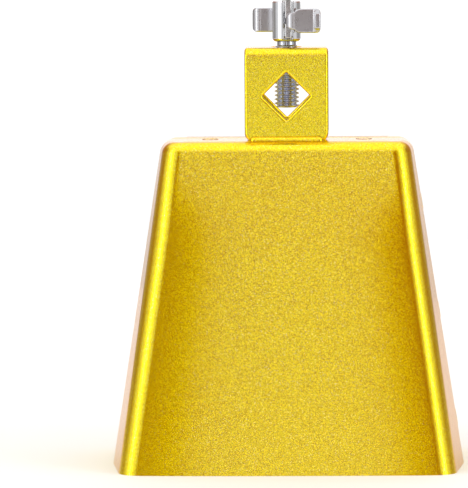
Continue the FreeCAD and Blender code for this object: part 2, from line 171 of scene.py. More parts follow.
above_level = add_node(room, "ShaderNodeMapRange", {"Value": parts["Z"], "From Min": WARM_FROM,
                                                    "From Max": WARM_TO, "To Max": level.outputs["Alpha"]},
                       interpolation_type="SMOOTHSTEP").outputs["Result"]
warmed = add_node(room, "ShaderNodeMix", {0: above_level, 6: level.outputs["Color"], 7: linear(WARM)},
                  data_type="RGBA", blend_type="MULTIPLY").outputs[2]
upward = add_node(room, "ShaderNodeMapRange", {"Value": parts["Z"], "From Min": CEILING_FROM,
                                               "From Max": CEILING_TO},
                  interpolation_type="SMOOTHSTEP").outputs["Result"]
white = CEILING / LEVEL_STRENGTH
all_round = add_node(room, "ShaderNodeMix", {0: upward, 6: warmed, 7: (white, white, white, 1)},
                     data_type="RGBA").outputs[2]
print("ceiling as bright as", CEILING)

# %% [markdown]
# Inside each side light stands a narrow strip lamp. The clear coat mirrors it as the pale line down each
# bend of the bell. Below the level of the bell the room is a little dimmer.

# %% Strip lamps and brightness
STRIP_AT, STRIP_HALF, STRIP_STRENGTH = math.radians(58), math.radians(9), 3.2
BELOW_STRENGTH, BELOW_FROM = 1.02, -0.08  # how bright the room is from this sine of the height down

strength = add_node(room, "ShaderNodeMapRange", {"Value": parts["Z"], "From Min": BELOW_FROM,
                                                 "From Max": 0.0, "To Min": BELOW_STRENGTH,
                                                 "To Max": LEVEL_STRENGTH}).outputs["Result"]
either_side = add_node(room, "ShaderNodeMath", {0: turned}, operation="ABSOLUTE").outputs[0]
off_strip = add_node(room, "ShaderNodeMath", {0: either_side, 1: STRIP_AT}, operation="SUBTRACT").outputs[0]
from_strip = add_node(room, "ShaderNodeMath", {0: off_strip}, operation="ABSOLUTE").outputs[0]
strip = add_node(room, "ShaderNodeMapRange", {"Value": from_strip, "From Max": STRIP_HALF,
                                              "To Min": STRIP_STRENGTH, "To Max": 0.0},
                 interpolation_type="SMOOTHSTEP").outputs["Result"]
strip_height = add_node(room, "ShaderNodeMath", {0: 1.0, 1: upward}, operation="SUBTRACT").outputs[0]
brightness = add_node(room, "ShaderNodeMath", {0: strip, 1: strip_height, 2: strength},
                      operation="MULTIPLY_ADD").outputs[0]
glow = add_node(room, "ShaderNodeBackground", {"Color": all_round, "Strength": brightness})
add_node(room, "ShaderNodeOutputWorld", {"Surface": glow.outputs["Background"]})
bpy.context.scene.world = world
print("strip lamps at degrees", math.degrees(STRIP_AT), "strength", STRIP_STRENGTH)

# %% [markdown]
# ## The table
#
# The bell stands on a round white table. It is plain and matt, so it only shows the bell's soft shadow. It
# isn't endless, because past its edge the room goes on downwards, and that is what the upright bracket and
# the upright screw mirror.

# %% Round white table
TABLE_RADIUS, TABLE_CORNERS = 0.75, 128   # metres
TABLE_WHITE = (0.97, 0.97, 0.97, 1)

table = bmesh.new()
bmesh.ops.create_circle(table, cap_ends=True, radius=TABLE_RADIUS, segments=TABLE_CORNERS)
floor_mesh = bpy.data.meshes.new("floor")
table.to_mesh(floor_mesh)
table.free()
floor = bpy.data.objects.new("floor", floor_mesh)
bpy.context.scene.collection.objects.link(floor)
floor_paint, floor_tree, floor_output = new_material("floor_white")
matt = add_node(floor_tree, "ShaderNodeBsdfDiffuse", {"Color": TABLE_WHITE})
floor_tree.links.new(matt.outputs["BSDF"], floor_output.inputs["Surface"])
floor_mesh.materials.append(floor_paint)
print("table radius in metres", TABLE_RADIUS)

# %% [markdown]
# ## The gold paint
#
# The colour coat is transparent gold lacquer full of tiny aluminium flakes. Most lie nearly flat and mirror
# the room in bright yellow. Some lie tilted: light reaches them through more lacquer, so they look more
# orange, and they mirror another part of the room, which makes the paint sparkle. Over it lies a smooth clear
# coat that mirrors the white room at the sides, where one looks along the surface. Real flakes are about
# 0.05 mm across. That is too fine to show, so they are drawn about twice as coarse.

# %% Gold metallic paint under clear coat
FLAKE = 0.115 * MM
FLAKE_TILT = 0.32        # a flake's lean is a random length squared, times this
PEEL = 1.6 * MM          # spacing of the clear coat's slight orange peel
PEEL_DEPTH = 0.004 * MM
LACQUER_EDGE = "#dca44c" # colour of the lacquer where one looks along the surface
# the random length that sets a flake's lean, and the flake's colour
FLAKE_COLOURS = [(0.11, "#fff8c8"), (0.20, "#fff80a"), (0.50, "#f8e006"), (0.80, "#cc8a04")]


def make_gold_paint(name, flake_colours):
    """Every Voronoi cell is a flake. Its random colour says which way it leans and how far."""
    material, tree, output = new_material(name)
    where = add_node(tree, "ShaderNodeTexCoord").outputs["Object"]
    flakes = add_node(tree, "ShaderNodeTexVoronoi", {"Vector": where, "Scale": 1 / FLAKE}, feature="F1")
    lean = add_node(tree, "ShaderNodeVectorMath", {0: flakes.outputs["Color"], 1: (0.5, 0.5, 0.5)},
                    operation="SUBTRACT").outputs[0]
    amount = add_node(tree, "ShaderNodeVectorMath", {0: lean}, operation="LENGTH").outputs["Value"]
    strength = add_node(tree, "ShaderNodeMath", {0: amount, 1: FLAKE_TILT}, operation="MULTIPLY").outputs[0]
    tilt = add_node(tree, "ShaderNodeVectorMath", {0: lean, "Scale": strength}, operation="SCALE").outputs[0]
    surface = add_node(tree, "ShaderNodeNewGeometry").outputs["Normal"]
    leaning = add_node(tree, "ShaderNodeVectorMath", {0: surface, 1: tilt}, operation="ADD").outputs[0]
    flake_normal = add_node(tree, "ShaderNodeVectorMath", {0: leaning}, operation="NORMALIZE").outputs[0]
    colour = add_node(tree, "ShaderNodeValToRGB", {"Fac": amount})
    while len(colour.color_ramp.elements) < len(flake_colours):
        colour.color_ramp.elements.new(1.0)
    for stop, (lying, tint) in zip(colour.color_ramp.elements, flake_colours):
        stop.position, stop.color = lying, linear(tint)
    peel = add_node(tree, "ShaderNodeTexNoise", {"Vector": where, "Scale": 1 / PEEL, "Detail": 1.0})
    coat_normal = add_node(tree, "ShaderNodeBump", {"Height": peel.outputs["Fac"], "Strength": 1.0,
                                                    "Distance": PEEL_DEPTH})
    shader = add_node(tree, "ShaderNodeBsdfPrincipled",
                      {"Base Color": colour.outputs["Color"], "Normal": flake_normal,
                       "Coat Normal": coat_normal.outputs["Normal"], "Metallic": 1.0, "Roughness": 0.20,
                       "Specular Tint": linear(LACQUER_EDGE), "Coat Weight": 0.8, "Coat Roughness": 0.06,
                       "Coat IOR": 1.42})
    tree.links.new(shader.outputs["BSDF"], output.inputs["Surface"])
    return material


gold_paint = make_gold_paint("gold_flake_paint", FLAKE_COLOURS)
print("flake size in mm", FLAKE / MM)

# %% [markdown]
# ## Bright nickel plate, zinc and braze
#
# The screw's head is turned steel with bright nickel on it: a near mirror, with a very fine turned grain.
# Its thread is rolled and zinc plated, duller and bluish. The braze is a thin run of yellowish silver alloy.
# They differ only in tint, gloss and depth of grain, so one recipe makes them all. The grain is noise that is
# stretched across the axis, which needs no picture and has no seam.

# %% Plated metals
TURNED_GRAIN = 0.12 * MM
RUB_SPOT = 1.8 * MM


def make_plate(name, colour, tinted, roughness_low, roughness_high, grain_depth):
    """A plated metal: two close tints in soft spots, uneven gloss and a fine grain round the screw's axis."""
    material, tree, output = new_material(name)
    where = add_node(tree, "ShaderNodeTexCoord").outputs["Object"]
    spots = add_node(tree, "ShaderNodeTexNoise", {"Vector": where, "Scale": 1 / RUB_SPOT, "Detail": 4.0})
    tint = add_node(tree, "ShaderNodeMix", {0: spots.outputs["Fac"], 6: linear(colour), 7: linear(tinted)},
                    data_type="RGBA")
    gloss = add_node(tree, "ShaderNodeMapRange", {"Value": spots.outputs["Fac"], "From Min": 0.3,
                                                  "From Max": 0.7, "To Min": roughness_low,
                                                  "To Max": roughness_high})
    rings = add_node(tree, "ShaderNodeMapping", {"Vector": where, "Scale": (0.05, 0.05, 1.0)})
    grain = add_node(tree, "ShaderNodeTexNoise", {"Vector": rings.outputs["Vector"],
                                                  "Scale": 1 / TURNED_GRAIN, "Detail": 2.0})
    bump = add_node(tree, "ShaderNodeBump", {"Height": grain.outputs["Fac"], "Strength": 1.0,
                                             "Distance": grain_depth})
    shader = add_node(tree, "ShaderNodeBsdfPrincipled",
                      {"Base Color": tint.outputs[2], "Roughness": gloss.outputs["Result"],
                       "Normal": bump.outputs["Normal"], "Metallic": 1.0})
    tree.links.new(shader.outputs["BSDF"], output.inputs["Surface"])
    return material


bright_nickel = make_plate("bright_nickel_plate", "#e8e8ea", "#d9dadd", 0.06, 0.14, 0.0006 * MM)
satin_nickel = make_plate("satin_nickel_wing", "#c6c6c9", "#bebec2", 0.26, 0.32, 0.0012 * MM)
sawn_nickel = make_plate("sawn_nickel_tab", "#f2f2f2", "#c8c8ca", 0.12, 0.30, 0.0080 * MM)
zinc = make_plate("zinc_plated_thread", "#d2d9e6", "#aeb2c6", 0.14, 0.30, 0.0010 * MM)
braze_alloy = make_plate("silver_braze", "#cfc6a4", "#b8a878", 0.30, 0.45, 0.0020 * MM)
print("grain spacing in mm", TURNED_GRAIN / MM)

# %% [markdown]
# ## Finishing a piece
#
# Every piece ends the same way: one plain mesh at the origin, with one material, riding on its body and
# standing for its CAD nodes. Modifiers are used up first by asking Blender for the evaluated mesh.

# %% From modifiers to a finished piece
def object_from(name, mesh):
    mesh.shade_smooth()
    made = bpy.data.objects.new(name, mesh)
    bpy.context.scene.collection.objects.link(made)
    return made


def add_modifier(piece, kind, **settings):
    modifier = piece.modifiers.new(kind.lower(), kind)
    for key, value in settings.items():
        setattr(modifier, key, value)
    return modifier


def use_up_modifiers(piece):
    """Swaps the piece's mesh for the one its modifiers make."""
    bpy.context.view_layer.update()
    evaluated = piece.evaluated_get(bpy.context.evaluated_depsgraph_get())
    mesh = bpy.data.meshes.new_from_object(evaluated)
    piece.modifiers.clear()
    piece.data = mesh
    return mesh


def finish_piece(piece, body, slot, material, *nodes):
    """Makes the mesh plain, gives it its material, hangs it on its body and hides the CAD nodes it stands
    for.
    """
    mesh = use_up_modifiers(piece)
    mesh.materials.clear()
    mesh.materials.append(material)
    mesh.polygons.foreach_set("material_index", [0] * len(mesh.polygons))
    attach(piece, body)
    if nodes:
        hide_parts(*nodes)
    print(piece.name, len(mesh.polygons), "faces, stands for", *nodes)


# %% [markdown]
# ## The half shells
#
# A half shell is a shallow pressed tray. A level cut through it is a line with four corners: the flat strip
# where the halves lap, a side wall that leans out, the face, and the same again. Stacking such lines,
# narrower towards the top and curling in over the top bend, gives the outside of the tray. A box pulled into
# shape would do as well, but lines with known corners keep the radius of every bend exact.

# %% Sizes of the bell
front_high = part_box("front_shell")[1]
rear_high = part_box("rear_shell")[1]
HEIGHT = front_high.z
MOUTH_HALF_WIDTH, MOUTH_HALF_DEPTH = front_high.x, rear_high.y
TOP_HALF_WIDTH, TOP_HALF_DEPTH = 39 * MM, 16 * MM
LAP = 5 * MM                      # half of the flat strip down each side
FLARE = 0.13                      # lean of the side walls, per unit of depth
SHEET = 1.5 * MM
FACE_BEND, TOP_BEND = 6 * MM, 4 * MM
STEP_LENGTH = 1.5 * MM            # how soon the rear half steps in under the front one
print("bell height in mm", HEIGHT / MM)


def half_sizes(height):
    share = height / HEIGHT
    return (MOUTH_HALF_WIDTH + (TOP_HALF_WIDTH - MOUTH_HALF_WIDTH) * share,
            MOUTH_HALF_DEPTH + (TOP_HALF_DEPTH - MOUTH_HALF_DEPTH) * share)


# %% [markdown]
# The points along a line always come in the same number and the same order, so neighbours join into a clean
# grid. Near the lap they stand at fixed depths, which lets the rear half bend inwards there.

# %% One level line
LAP_COLUMNS, STEP_COLUMNS, WALL_COLUMNS, BEND_COLUMNS, FACE_COLUMNS = 8, 8, 6, 14, 64


def half_line(half_width, half_depth, bend):
    """Points of a half, seen as the one towards +Y, from its right lap edge round to its left one."""
    corner = Vector((half_width - FLARE * (half_depth - LAP), half_depth, 0))
    wall_way = (Vector((half_width, LAP, 0)) - corner).normalized()
    face_way = Vector((-1, 0, 0))
    half_angle = wall_way.angle(face_way) / 2
    centre = corner + (wall_way + face_way).normalized() * bend / math.sin(half_angle)
    reach = bend / math.tan(half_angle)
    first, last = corner + wall_way * reach - centre, corner + face_way * reach - centre
    sweep = first.angle(last)
    right = [Vector((half_width, -LAP + 2 * LAP * k / LAP_COLUMNS, 0)) for k in range(LAP_COLUMNS)]
    depths = [LAP + STEP_LENGTH * k / STEP_COLUMNS for k in range(STEP_COLUMNS)]
    wall_start, wall_end = LAP + STEP_LENGTH, (centre + first).y
    depths += [wall_start + (wall_end - wall_start) * k / WALL_COLUMNS for k in range(WALL_COLUMNS)]
    right += [Vector((half_width - FLARE * (depth - LAP), depth, 0)) for depth in depths]
    right += [centre + (first * math.sin(sweep * (1 - k / BEND_COLUMNS))
                        + last * math.sin(sweep * k / BEND_COLUMNS)) / math.sin(sweep)
              for k in range(BEND_COLUMNS + 1)]
    left = [Vector((-point.x, point.y, 0)) for point in reversed(right)]
    middle = [right[-1].lerp(left[0], k / FACE_COLUMNS) for k in range(1, FACE_COLUMNS)]
    return right + middle + left


print("points in a line", len(half_line(*half_sizes(0), FACE_BEND)))

# %% [markdown]
# The face is crowned by less than two millimetres, as pressed sheet is, and that curve spreads the light over
# it. It could be pulled out by hand, but a short rule is easier to judge: it bends gently over the middle and
# faster near the side bends, and it fades out towards the top.

# %% Crown of the face
CROWN = 1.7 * MM
CROWN_SPAN = 0.95                     # share of the half width where the crown ends
FADE_FROM, FADE_LENGTH = 0.65, 0.33   # shares of the height
FACE_FROM, FACE_LENGTH = 0.75, 0.25   # shares of the half depth, from the wall to the face


def smooth_step(share):
    share = min(1.0, max(0.0, share))
    return share * share * (3 - 2 * share)


def crown(point, half_width, half_depth, height):
    """How far a point of the face is pushed out: most in the middle, nothing at its bends."""
    share = min(1.0, abs(point.x) / (half_width * CROWN_SPAN))
    across = 1 - 0.5 * share ** 2 - 0.5 * share ** 6
    upward = 1 - smooth_step((height / HEIGHT - FADE_FROM) / FADE_LENGTH)
    on_face = smooth_step((point.y / half_depth - FACE_FROM) / FACE_LENGTH)
    return CROWN * across * upward * on_face


print("crown of the face in mm", CROWN / MM)

# %% [markdown]
# Up the walls the line shrinks evenly. Over the top bend it shrinks along an arc that starts where the arc
# touches the leaning wall, so the sheet turns over without a crease.

# %% Lines stacked from the mouth over the top bend
WALL_ROWS, BEND_ROWS = 40, 10


def stack_lines():
    wall_lean = math.atan((MOUTH_HALF_WIDTH - TOP_HALF_WIDTH) / HEIGHT)
    bend_start = HEIGHT - TOP_BEND * (1 - math.sin(wall_lean))
    rows = []
    for row in range(WALL_ROWS + 1):
        height = bend_start * row / WALL_ROWS
        wide, deep = half_sizes(height)
        rows.append([Vector((p.x, p.y + crown(p, wide, deep, height), height))
                     for p in half_line(wide, deep, FACE_BEND)])
    wide, deep = half_sizes(bend_start)
    for row in range(1, BEND_ROWS + 1):
        angle = wall_lean + (math.pi / 2 - wall_lean) * row / BEND_ROWS
        inset = TOP_BEND * (math.cos(wall_lean) - math.cos(angle))
        height = HEIGHT - TOP_BEND * (1 - math.sin(angle))
        rows.append([Vector((p.x, p.y, height)) for p in half_line(wide - inset, deep - inset,
                                                                   FACE_BEND - inset)])
    return rows


print("lines in a half", len(stack_lines()))

# %% [markdown]
# The lines become a grid of four-sided faces. The flat top is closed by strips from one side of the last line
# to the other. Each strip's edges lie at one depth, so the rear half's top can step down along a straight
# line, as its walls do.

# %% The outside of a half as a mesh
def half_sheet(side):
    """The skin of the half towards side * Y: walls, top bend, and the flat top in strips across."""
    sheet = bmesh.new()
    rows = [[sheet.verts.new((p.x, side * p.y, p.z)) for p in row] for row in stack_lines()]
    for low, high in zip(rows, rows[1:]):
        for k in range(len(low) - 1):
            sheet.faces.new((low[k], low[k + 1], high[k + 1], high[k]))
    rim = rows[-1]
    strips = LAP_COLUMNS + STEP_COLUMNS + WALL_COLUMNS + BEND_COLUMNS
    for k in range(strips):
        sheet.faces.new((rim[k], rim[k + 1], rim[-2 - k], rim[-1 - k]))
    sheet.faces.new(rim[strips:len(rim) - strips])
    bmesh.ops.recalc_face_normals(sheet, faces=sheet.faces[:])
    sheet.normal_update()
    if sum(face.normal.z * face.calc_area() for face in sheet.faces) < 0:
        bmesh.ops.reverse_faces(sheet, faces=sheet.faces[:])
        sheet.normal_update()
    return sheet


front_sheet = half_sheet(-1)
print("faces in the front half's skin", len(front_sheet.faces))

# %% [markdown]
# The rear half goes on inside the front one: over a millimetre and a half it steps in by the sheet's
# thickness. Solidify then gives the sheet its thickness, and a small bevel rounds the cut edges.

# %% Step, thicken and round
RIM_ROUND = 0.35 * MM
CUT_EDGE = math.radians(60)       # sharper edges than this are cut edges of the sheet


def make_shell(name, sheet, node):
    mesh = bpy.data.meshes.new(name)
    sheet.to_mesh(mesh)
    sheet.free()
    piece = object_from(name, mesh)
    add_modifier(piece, "SOLIDIFY", thickness=SHEET, offset=-1.0, use_even_offset=False)
    for vertex in use_up_modifiers(piece).vertices:
        vertex.co.z = max(vertex.co.z, 0.0)
    add_modifier(piece, "BEVEL", width=RIM_ROUND, segments=3, limit_method="ANGLE",
                 angle_limit=CUT_EDGE, use_clamp_overlap=True)
    add_modifier(piece, "WEIGHTED_NORMAL", keep_sharp=True)
    finish_piece(piece, "bell", "gold_paint", gold_paint, node)


make_shell("front_half", front_sheet, "front_shell")

rear_sheet = half_sheet(1)
inwards = {v: (v.normal * SHEET * smooth_step((LAP + STEP_LENGTH - v.co.y) / STEP_LENGTH)).copy()
           for v in rear_sheet.verts}
for vertex, shift in inwards.items():
    vertex.co -= shift
make_shell("rear_half", rear_sheet, "rear_shell")

# %% [markdown]
# ## Geometry Nodes for what repeats
#
# Two things on the bell repeat: the spot weld marks and the turns of the thread. Both are round, so both
# start from a flat grid that is rolled up round an axis. What their trees share is written once: the named
# inputs, the rolling up, the ending, and the object that uses a tree.

# %% Parts that both trees share
def new_tree(name, **sockets):
    """An empty geometry tree with named inputs of the given kinds, plus a material."""
    tree = bpy.data.node_groups.new(name, "GeometryNodeTree")
    for label, kind in {**sockets, "Material": "NodeSocketMaterial"}.items():
        tree.interface.new_socket(label, in_out="INPUT", socket_type=kind)
    tree.interface.new_socket("Geometry", in_out="OUTPUT", socket_type="NodeSocketGeometry")
    return tree, add_node(tree, "NodeGroupInput").outputs


def roll_up(tree, grid, turn, radius, height, weld):
    """Moves a grid's points round the Z axis by their share of a turn, and welds those that meet."""
    angle = add_node(tree, "ShaderNodeMath", {0: turn, 1: 2 * math.pi}, operation="MULTIPLY").outputs[0]
    straight = add_node(tree, "ShaderNodeCombineXYZ", {0: radius, 2: height}).outputs[0]
    place = add_node(tree, "ShaderNodeVectorRotate", {"Vector": straight, "Angle": angle},
                     rotation_type="Z_AXIS").outputs[0]
    rolled = add_node(tree, "GeometryNodeSetPosition", {"Geometry": grid, "Position": place})
    return add_node(tree, "GeometryNodeMergeByDistance", {"Geometry": rolled.outputs[0],
                                                          "Distance": weld}).outputs[0]


def end_tree(tree, geometry, material):
    """Every tree ends by making its instances real and setting their material."""
    real = add_node(tree, "GeometryNodeRealizeInstances", {"Geometry": geometry})
    painted = add_node(tree, "GeometryNodeSetMaterial", {"Geometry": real.outputs[0], "Material": material})
    add_node(tree, "NodeGroupOutput", {"Geometry": painted.outputs[0]})


def grow(name, tree, **inputs):
    """An object whose mesh a tree makes, with the tree's inputs set by name."""
    piece = object_from(name, bpy.data.meshes.new(name))
    modifier = piece.modifiers.new("grow", "NODES")
    modifier.node_group = tree
    sockets = {item.name: item.identifier for item in tree.interface.items_tree if item.in_out == "INPUT"}
    for label, value in inputs.items():
        modifier[sockets[label]] = value
    return piece


print("trees made so far", len(bpy.data.node_groups))

# %% [markdown]
# ## Spot welds
#
# A spot weld is made by two copper tips that squeeze the sheets and melt them together. It leaves a round,
# slightly sunk mark with a soft ring. All marks have one shape, so the tree makes that mark once, by rolling
# a grid up into a disc, and sets it on a row of points. Two drawn curves say how the mark's outline runs
# outwards and back, and how it rises to the ring and falls to the rim.

# %% Spot weld marks with Geometry Nodes
MARK_RINGS, MARK_SPOKES = 17, 41
MARK_MIDDLE = 0.72                    # height of the sunk middle, as a share of the ring's
# share of the outline, from the middle over the ring to the rim, and height there
MARK_OUTLINE = ((0.45, 0.74), (0.60, 0.88), (0.68, 1.0), (0.75, 0.9), (0.8, 0.5), (0.85, 0.0))
MARK_RIM = 0.8                        # share of the outline where it turns back under the mark
MARK_WELD = 0.002 * MM


def make_mark_tree():
    """Marks from First, Step apart, each turned by Tilt. Their undersides lie inside the sheet."""
    tree, given = new_tree("spot_weld_marks", Count="NodeSocketInt", First="NodeSocketVector",
                           Step="NodeSocketVector", Tilt="NodeSocketRotation", Radius="NodeSocketFloat",
                           Height="NodeSocketFloat")
    row = add_node(tree, "GeometryNodeMeshLine", {"Count": given["Count"], "Start Location": given["First"],
                                                  "Offset": given["Step"]}, mode="OFFSET")
    grid = add_node(tree, "GeometryNodeMeshGrid", {"Size X": 1.0, "Size Y": 1.0, "Vertices X": MARK_RINGS,
                                                   "Vertices Y": MARK_SPOKES})
    flat = add_node(tree, "ShaderNodeSeparateXYZ", {0: grid.outputs["UV Map"]}).outputs
    outward = add_node(tree, "ShaderNodeFloatCurve", {"Value": flat["X"]})
    reach = outward.mapping.curves[0]
    reach.points[0].location, reach.points[1].location = (0.0, 0.0), (1.0, 0.0)
    reach.points.new(MARK_RIM, 1.0)
    outward.mapping.update()
    upward = add_node(tree, "ShaderNodeFloatCurve", {"Value": flat["X"]})
    rise = upward.mapping.curves[0]
    rise.points[0].location, rise.points[1].location = (0.0, MARK_MIDDLE), (1.0, 0.0)
    for place in MARK_OUTLINE:
        rise.points.new(*place)
    for curve in (reach, rise):
        for point in curve.points:
            point.handle_type = "VECTOR" if curve is reach else "AUTO_CLAMPED"
    upward.mapping.update()
    radius = add_node(tree, "ShaderNodeMath", {0: outward.outputs[0], 1: given["Radius"]},
                      operation="MULTIPLY").outputs[0]
    centred = add_node(tree, "ShaderNodeMath", {0: upward.outputs[0], 1: 0.5}, operation="SUBTRACT")
    height = add_node(tree, "ShaderNodeMath", {0: centred.outputs[0], 1: given["Height"]},
                      operation="MULTIPLY").outputs[0]
    disc = roll_up(tree, grid.outputs["Mesh"], flat["Y"], radius, height, MARK_WELD)
    marks = add_node(tree, "GeometryNodeInstanceOnPoints", {"Points": row.outputs["Mesh"],
                                                            "Instance": disc,
                                                            "Rotation": given["Tilt"]})
    end_tree(tree, marks.outputs[0], given["Material"])
    return tree


mark_tree = make_mark_tree()
print("nodes in the spot weld tree", len(mark_tree.nodes))

# %% [markdown]
# Three marks run down each side seam and two sit on the top. A rolled-up grid can come out with its faces
# pointing inwards, so every result has them turned outwards. The discs are closed already, but the thread at
# the end of this file is a tube, so the same helper also caps open ends.

# %% Marks on the side seams and on the top
MARK = {"Radius": 2.5 * MM, "Height": 0.2 * MM, "Material": gold_paint}
FIRST_MARK, MARK_STEP, TOP_MARK = 14 * MM, 34 * MM, 24 * MM
side_lean = math.atan((MOUTH_HALF_WIDTH - TOP_HALF_WIDTH) / HEIGHT)


def outward_mesh(piece):
    """Uses up the piece's modifiers, caps any open end and turns the faces outwards."""
    mesh = use_up_modifiers(piece)
    shape = bmesh.new()
    shape.from_mesh(mesh)
    bmesh.ops.holes_fill(shape, edges=[edge for edge in shape.edges if edge.is_boundary], sides=0)
    bmesh.ops.recalc_face_normals(shape, faces=shape.faces[:])
    print(piece.name, "open edges", sum(edge.is_boundary for edge in shape.edges))
    shape.to_mesh(mesh)
    shape.free()
    mesh.shade_smooth()
    return piece


def side_marks(name, node, side):
    first = (side * half_sizes(FIRST_MARK)[0], 0, FIRST_MARK)
    step = (-side * math.tan(side_lean) * MARK_STEP, 0, MARK_STEP)
    piece = grow(name, mark_tree, Count=3, First=first, Step=step,
                 Tilt=(0, side * (math.pi / 2 - side_lean), 0), **MARK)
    finish_piece(outward_mesh(piece), "bell", "gold_paint", gold_paint, node)


side_marks("left_spot_welds", "left_seam_welds", -1)
side_marks("right_spot_welds", "right_seam_welds", 1)
top_marks = grow("top_spot_welds", mark_tree, Count=2, First=(-TOP_MARK, 0, HEIGHT),
                 Step=(2 * TOP_MARK, 0, 0), Tilt=(0, 0, 0), **MARK)
finish_piece(outward_mesh(top_marks), "bell", "gold_paint", gold_paint, "top_seam_welds")

# %% [markdown]
# ## Bracket, nut and plain pieces
#
# The CAD solids of these have the right shape already, but their edges are sharp as a knife. Real edges are
# broken by tumbling and rounded by paint, and an edge that catches light is half of what makes metal look
# solid. So each is copied, its triangles are merged back into whole faces, and its edges are bevelled.

# %% Softened copies of CAD solids
FLAT_ENOUGH = math.radians(0.5)
SHARP = math.radians(32)
SAME_PLACE = 0.001 * MM           # corners nearer than this are one corner


def softened(name, node, width, segments=3):
    """A copy of a CAD node with its faces made whole and its sharp edges rounded to the full width."""
    copy = bmesh.new()
    copy.from_mesh(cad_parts[node].data)
    bmesh.ops.remove_doubles(copy, verts=copy.verts[:], dist=SAME_PLACE)
    bmesh.ops.dissolve_limit(copy, angle_limit=FLAT_ENOUGH, verts=copy.verts[:], edges=copy.edges[:])
    mesh = bpy.data.meshes.new(name)
    copy.to_mesh(mesh)
    copy.free()
    piece = object_from(name, mesh)
    add_modifier(piece, "BEVEL", width=width, segments=segments, limit_method="ANGLE", angle_limit=SHARP,
                 use_clamp_overlap=False, loop_slide=False)
    add_modifier(piece, "WEIGHTED_NORMAL", keep_sharp=True)
    return piece


PAINTED = [("clamp_bracket", "mount_bracket", 0.9 * MM), ("hexagon_nut", "weld_nut", 0.3 * MM),
           ("nut_tacks", "nut_tack_welds", 0.1 * MM), ("front_foot_bead", "front_foot_weld", 0.2 * MM),
           ("rear_foot_bead", "rear_foot_weld", 0.2 * MM)]
for name, node, width in PAINTED:
    finish_piece(softened(name, node, width, 5), "bell", "gold_paint", gold_paint, node)

finish_piece(softened("screw_barrel", "slotted_barrel", 0.45 * MM, 4), "head", "bright_plate", bright_nickel,
             "slotted_barrel")
finish_piece(softened("braze_run", "wing_braze", 0.1 * MM), "head", "braze", braze_alloy, "wing_braze")

# %% [markdown]
# ## The wings
#
# Each wing is a strip of plate. It leaves the slot, turns along the barrel and ends in a short lip for the
# thumb. Near the slot the strip tapers to a rounded nose. It is made as a drawn strip would be: a cross
# section with rounded corners moves along the strip's middle line, and its height follows the outline.

# %% Middle line and height of a wing
tab_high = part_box("wing_plate")[1]
barrel_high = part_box("slotted_barrel")[1]
HEAD_TURN = math.radians(8.6)
PLATE = 2.0 * MM
WING_LOW, WING_HALF_HEIGHT, WING_REACH = 134.9 * MM, 3.8 * MM, 9.75 * MM
WING_FACE = barrel_high.x + 0.3 * MM         # inner face of the strip beside the barrel
NOSE_BEND, LIP_BEND = 1.8 * MM, 1.5 * MM     # radii of the middle line
NOSE_HALF_HEIGHT, NOSE_RISE = 0.9 * MM, 1.9 * MM
FULL_HEIGHT_AT = 0.45                        # share of the straight run where the strip is at full height
TIP_ROUND = 1.3 * MM
BEND_STEPS, RUN_STEPS = 12, 24


def wing_line():
    """Stations along the middle line: place, heading, and half the strip's height there."""
    run_y = -(WING_FACE + PLATE / 2)
    lip_x = WING_REACH - PLATE / 2 - LIP_BEND
    stations = []
    for k in range(BEND_STEPS + 1):
        turn = math.pi / 2 * k / BEND_STEPS
        place = Vector((NOSE_BEND * (1 - math.cos(turn)), run_y + NOSE_BEND * (1 - math.sin(turn)), 0))
        stations.append((place, turn, NOSE_HALF_HEIGHT + NOSE_RISE * math.sin(turn)))
    for k in range(1, RUN_STEPS + 1):
        share = k / RUN_STEPS
        place = Vector((NOSE_BEND + (lip_x - NOSE_BEND) * share, run_y, 0))
        rise = math.sqrt(max(0.0, 1 - (1 - min(1, share / FULL_HEIGHT_AT)) ** 2))
        low = NOSE_HALF_HEIGHT + NOSE_RISE
        stations.append((place, math.pi / 2, low + (WING_HALF_HEIGHT - low) * rise))
    for k in range(1, BEND_STEPS + 1):
        turn = math.pi / 2 * k / BEND_STEPS
        place = Vector((lip_x + LIP_BEND * math.sin(turn), run_y - LIP_BEND * (1 - math.cos(turn)), 0))
        near_tip = max(0.0, 1 - LIP_BEND * (math.pi / 2 - turn) / TIP_ROUND)
        cut = TIP_ROUND * (1 - math.sqrt(max(0.0, 1 - near_tip ** 2)))
        stations.append((place, math.pi / 2 - turn, WING_HALF_HEIGHT - cut))
    return stations


print("stations along a wing", len(wing_line()))

# %% [markdown]
# At every station a rounded rectangle stands across the line. Three smaller ones close each end in a rounded
# edge. The second wing is the first one turned by half a turn, not mirrored, as on the real screw.

# %% Cross section moved along the line
SECTION_ROUND = 0.5 * MM
CORNER_STEPS = 4                   # faces round each corner of the cross section
END_INSETS = (1.0, 0.6, 0.25)      # how far the rings of an end are drawn in, from the outermost one


def section(half_height):
    """A rectangle with rounded corners: offsets across the strip and up, in order."""
    points = []
    for across, up, start in ((1, 1, 0), (-1, 1, 90), (-1, -1, 180), (1, -1, 270)):
        middle = (across * (PLATE / 2 - SECTION_ROUND), up * (half_height - SECTION_ROUND))
        for step in range(CORNER_STEPS + 1):
            angle = math.radians(start + 90 * step / CORNER_STEPS)
            points.append((middle[0] + SECTION_ROUND * math.cos(angle),
                           middle[1] + SECTION_ROUND * math.sin(angle)))
    return points


